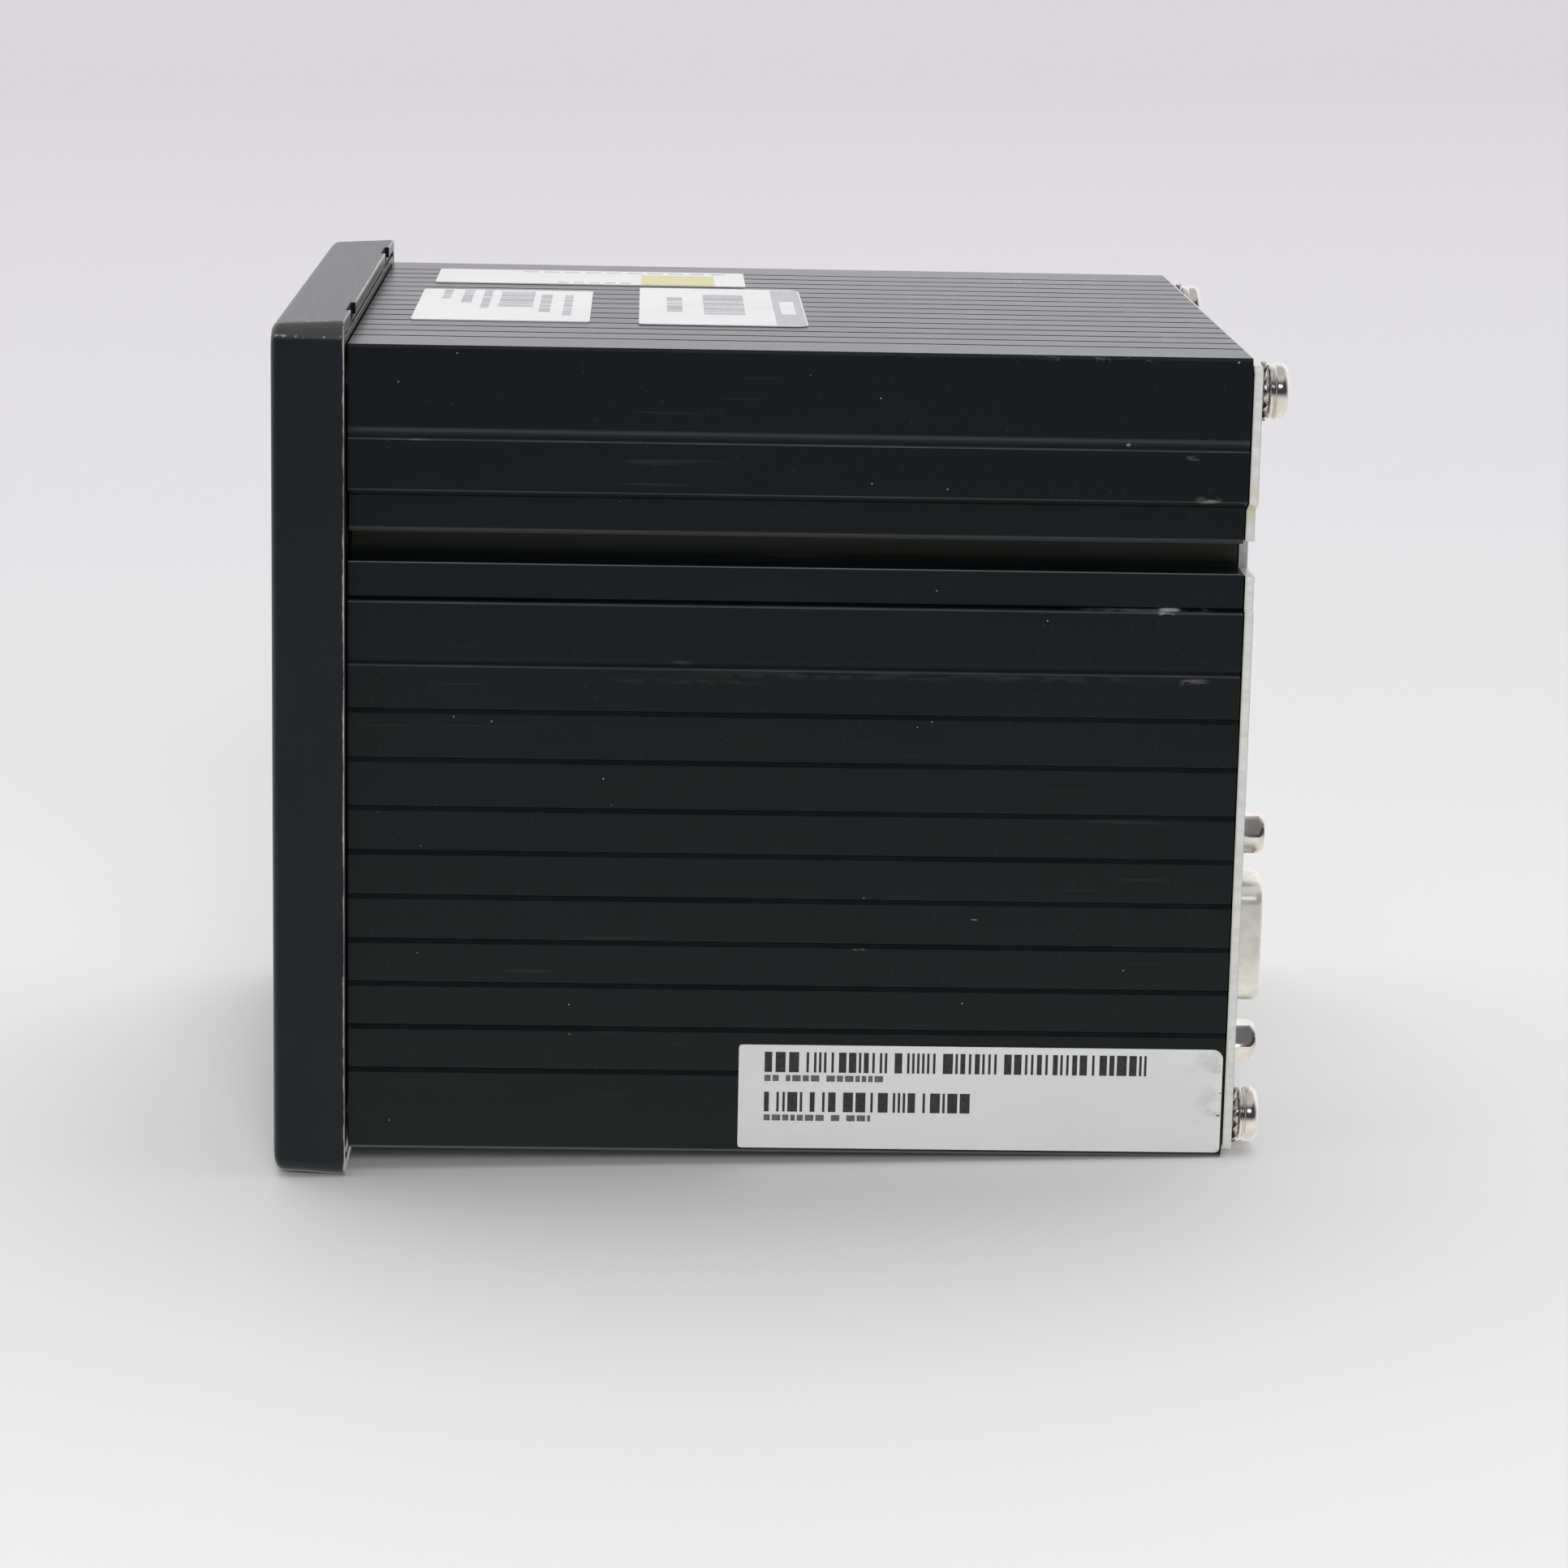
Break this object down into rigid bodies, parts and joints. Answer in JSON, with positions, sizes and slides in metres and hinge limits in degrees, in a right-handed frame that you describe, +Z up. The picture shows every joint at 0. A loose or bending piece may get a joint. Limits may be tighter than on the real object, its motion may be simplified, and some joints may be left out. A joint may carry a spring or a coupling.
{
  "type": "panel-mount instrument controller",
  "caption": "Quarter-DIN panel instrument: grooved black aluminium case, front bezel with display window and push keys, metal back plate with D-sub sockets and power jack.",
  "frame": {"origin": "middle of the bottom of the bounding box, under the middle of the case; the bottom is the lower edge of the front bezel", "axes": "+Z up; -Y is the front with the display, +Y the back with the connectors, along the extrusion; +X is the right side as seen from the front"},
  "size_m": [0.096, 0.1128, 0.096],
  "materials": {
    "anodised_case": "black anodised, satin, with fine scratches",
    "bezel_paint": "dark grey fine texture paint, worn to bare metal on the back edge",
    "overlay": "fine matt film",
    "window": "clear smoked acrylic",
    "display_glass": "liquid crystal glass in a frame",
    "key_plastic": "fine matt",
    "back_plate": "clear-passivated sheet, brushed",
    "nickel": "nickel plated, bright",
    "steel": "zinc plated",
    "tin_shell": "tin plated, satin",
    "black_plastic": "moulded, fine matt",
    "board": "solder resist over glass fibre",
    "copper_core": "varnished winding",
    "component_can": "sleeved can",
    "ribbon": "flat cable",
    "paper": "semi-gloss label stock"
  },
  "bodies": {
    "case": {"bezel_screw_1": "steel", "bezel_screw_2": "steel", "bezel_screw_3": "steel", "bezel_screw_4": "steel", "capacitor_1": "component_can", "capacitor_2": "component_can", "display_board": "board", "display_module": "display_glass", "display_window": "window", "earth_nut": "nickel", "earth_stud": "steel", "earth_washer": "steel", "front_bezel": "bezel_paint", "front_overlay": "overlay", "housing_extrusion": "anodised_case", "lock_washer_1": "steel", "lock_washer_2": "steel", "lock_washer_3": "steel", "lock_washer_4": "steel", "main_board": "board", "power_board": "board", "power_jack": "black_plastic", "power_jack_nut": "nickel", "processor": "black_plastic", "rear_panel": "back_plate", "rear_screw_1": "nickel", "rear_screw_2": "nickel", "rear_screw_3": "nickel", "rear_screw_4": "nickel", "relay_insert": "black_plastic", "relay_jackscrew_1": "nickel", "relay_jackscrew_2": "nickel", "relay_shell": "tin_shell", "ribbon_cable": "ribbon", "serial_insert": "black_plastic", "serial_jackscrew_1": "nickel", "serial_jackscrew_2": "nickel", "serial_shell": "tin_shell", "side_label": "paper", "signal_relay_1": "component_can", "signal_relay_2": "component_can", "switch_down": "black_plastic", "switch_enter": "black_plastic", "switch_left": "black_plastic", "switch_right": "black_plastic", "switch_up": "black_plastic", "top_label_1": "paper", "top_label_2": "paper", "top_label_3": "paper", "transformer": "copper_core"},
    "key_down_cap": {"key_down": "key_plastic"},
    "key_enter_cap": {"key_enter": "key_plastic"},
    "key_left_cap": {"key_left": "key_plastic"},
    "key_right_cap": {"key_right": "key_plastic"},
    "key_up_cap": {"key_up": "key_plastic"}
  },
  "joints": [
    {"name": "key_down_press", "type": "slide", "parent": "case", "child": "key_down_cap", "axis": [0, 1, 0], "range_m": [0, 0.0006], "stiffness_N_per_m": 2500, "springref_m": -0.0001},
    {"name": "key_enter_press", "type": "slide", "parent": "case", "child": "key_enter_cap", "axis": [0, 1, 0], "range_m": [0, 0.0006], "stiffness_N_per_m": 2500, "springref_m": -0.0001},
    {"name": "key_left_press", "type": "slide", "parent": "case", "child": "key_left_cap", "axis": [0, 1, 0], "range_m": [0, 0.0006], "stiffness_N_per_m": 2500, "springref_m": -0.0001},
    {"name": "key_right_press", "type": "slide", "parent": "case", "child": "key_right_cap", "axis": [0, 1, 0], "range_m": [0, 0.0006], "stiffness_N_per_m": 2500, "springref_m": -0.0001},
    {"name": "key_up_press", "type": "slide", "parent": "case", "child": "key_up_cap", "axis": [0, 1, 0], "range_m": [0, 0.0006], "stiffness_N_per_m": 2500, "springref_m": -0.0001}
  ]
}
